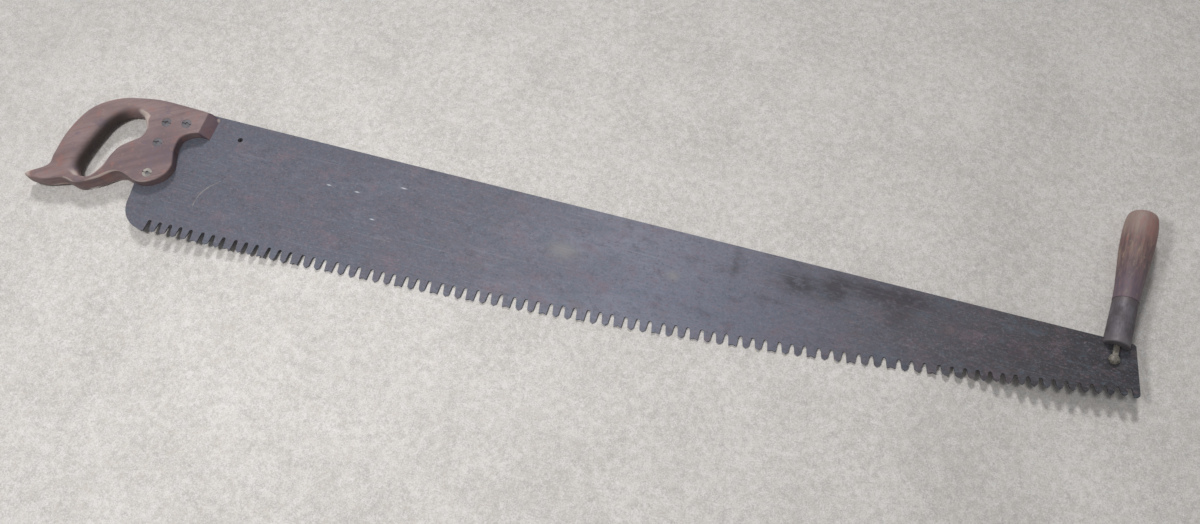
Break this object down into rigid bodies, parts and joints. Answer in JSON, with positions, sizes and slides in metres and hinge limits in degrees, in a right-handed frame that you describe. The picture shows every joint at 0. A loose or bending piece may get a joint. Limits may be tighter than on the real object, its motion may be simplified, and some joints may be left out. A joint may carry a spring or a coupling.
{
  "type": "crosscut saw",
  "caption": "Long crosscut saw with champion teeth, a closed wooden handle at the heel and a turned wooden toe handle drawn down on the back by a forked rod.",
  "frame": {"origin": "middle of the spare hole near the heel, in the middle of the blade's thickness", "axes": "+X along the back from heel to toe, +Y in the blade's plane away from the teeth, +Z square to the blade along the spare hole's axis"},
  "size_m": [1.3727, 0.346, 0.0384],
  "materials": {
    "blade_steel": "dark worn patina with fine scratches",
    "handle_wood": "worn brown varnish",
    "bolt_steel": "dull, dark",
    "nut_brass": "dull, worn bright",
    "rod_steel": "worn, slightly rusty",
    "ferrule_iron": "dull grey",
    "grip_wood": "worn red-brown varnish with bare streaks"
  },
  "bodies": {
    "saw": {"blade": "blade_steel", "rear_handle": "handle_wood", "saw_bolt_1": "bolt_steel", "saw_bolt_2": "bolt_steel", "saw_bolt_3": "bolt_steel", "saw_bolt_4": "bolt_steel", "saw_nut_1": "bolt_steel", "saw_nut_2": "bolt_steel", "saw_nut_3": "bolt_steel", "saw_nut_4": "nut_brass", "draw_rod": "rod_steel", "fork_screw": "rod_steel"},
    "ferrule": {"toe_ferrule": "ferrule_iron"},
    "grip": {"toe_grip": "grip_wood", "grip_nut": "rod_steel"}
  },
  "joints": [
    {"name": "ferrule_lift", "type": "slide", "parent": "saw", "child": "ferrule", "axis": [0.0872, 0.9962, 0], "range_m": [0, 0.00508]},
    {"name": "grip_turn", "type": "hinge", "parent": "ferrule", "child": "grip", "pos_m": [1.09, 0, 0], "axis": [0.0872, 0.9962, 0], "range_deg": [0, 1440]}
  ],
  "couplings": [
    {"joint": "grip_turn", "follows": "ferrule_lift", "rad_per_m": 4947.4}
  ]
}
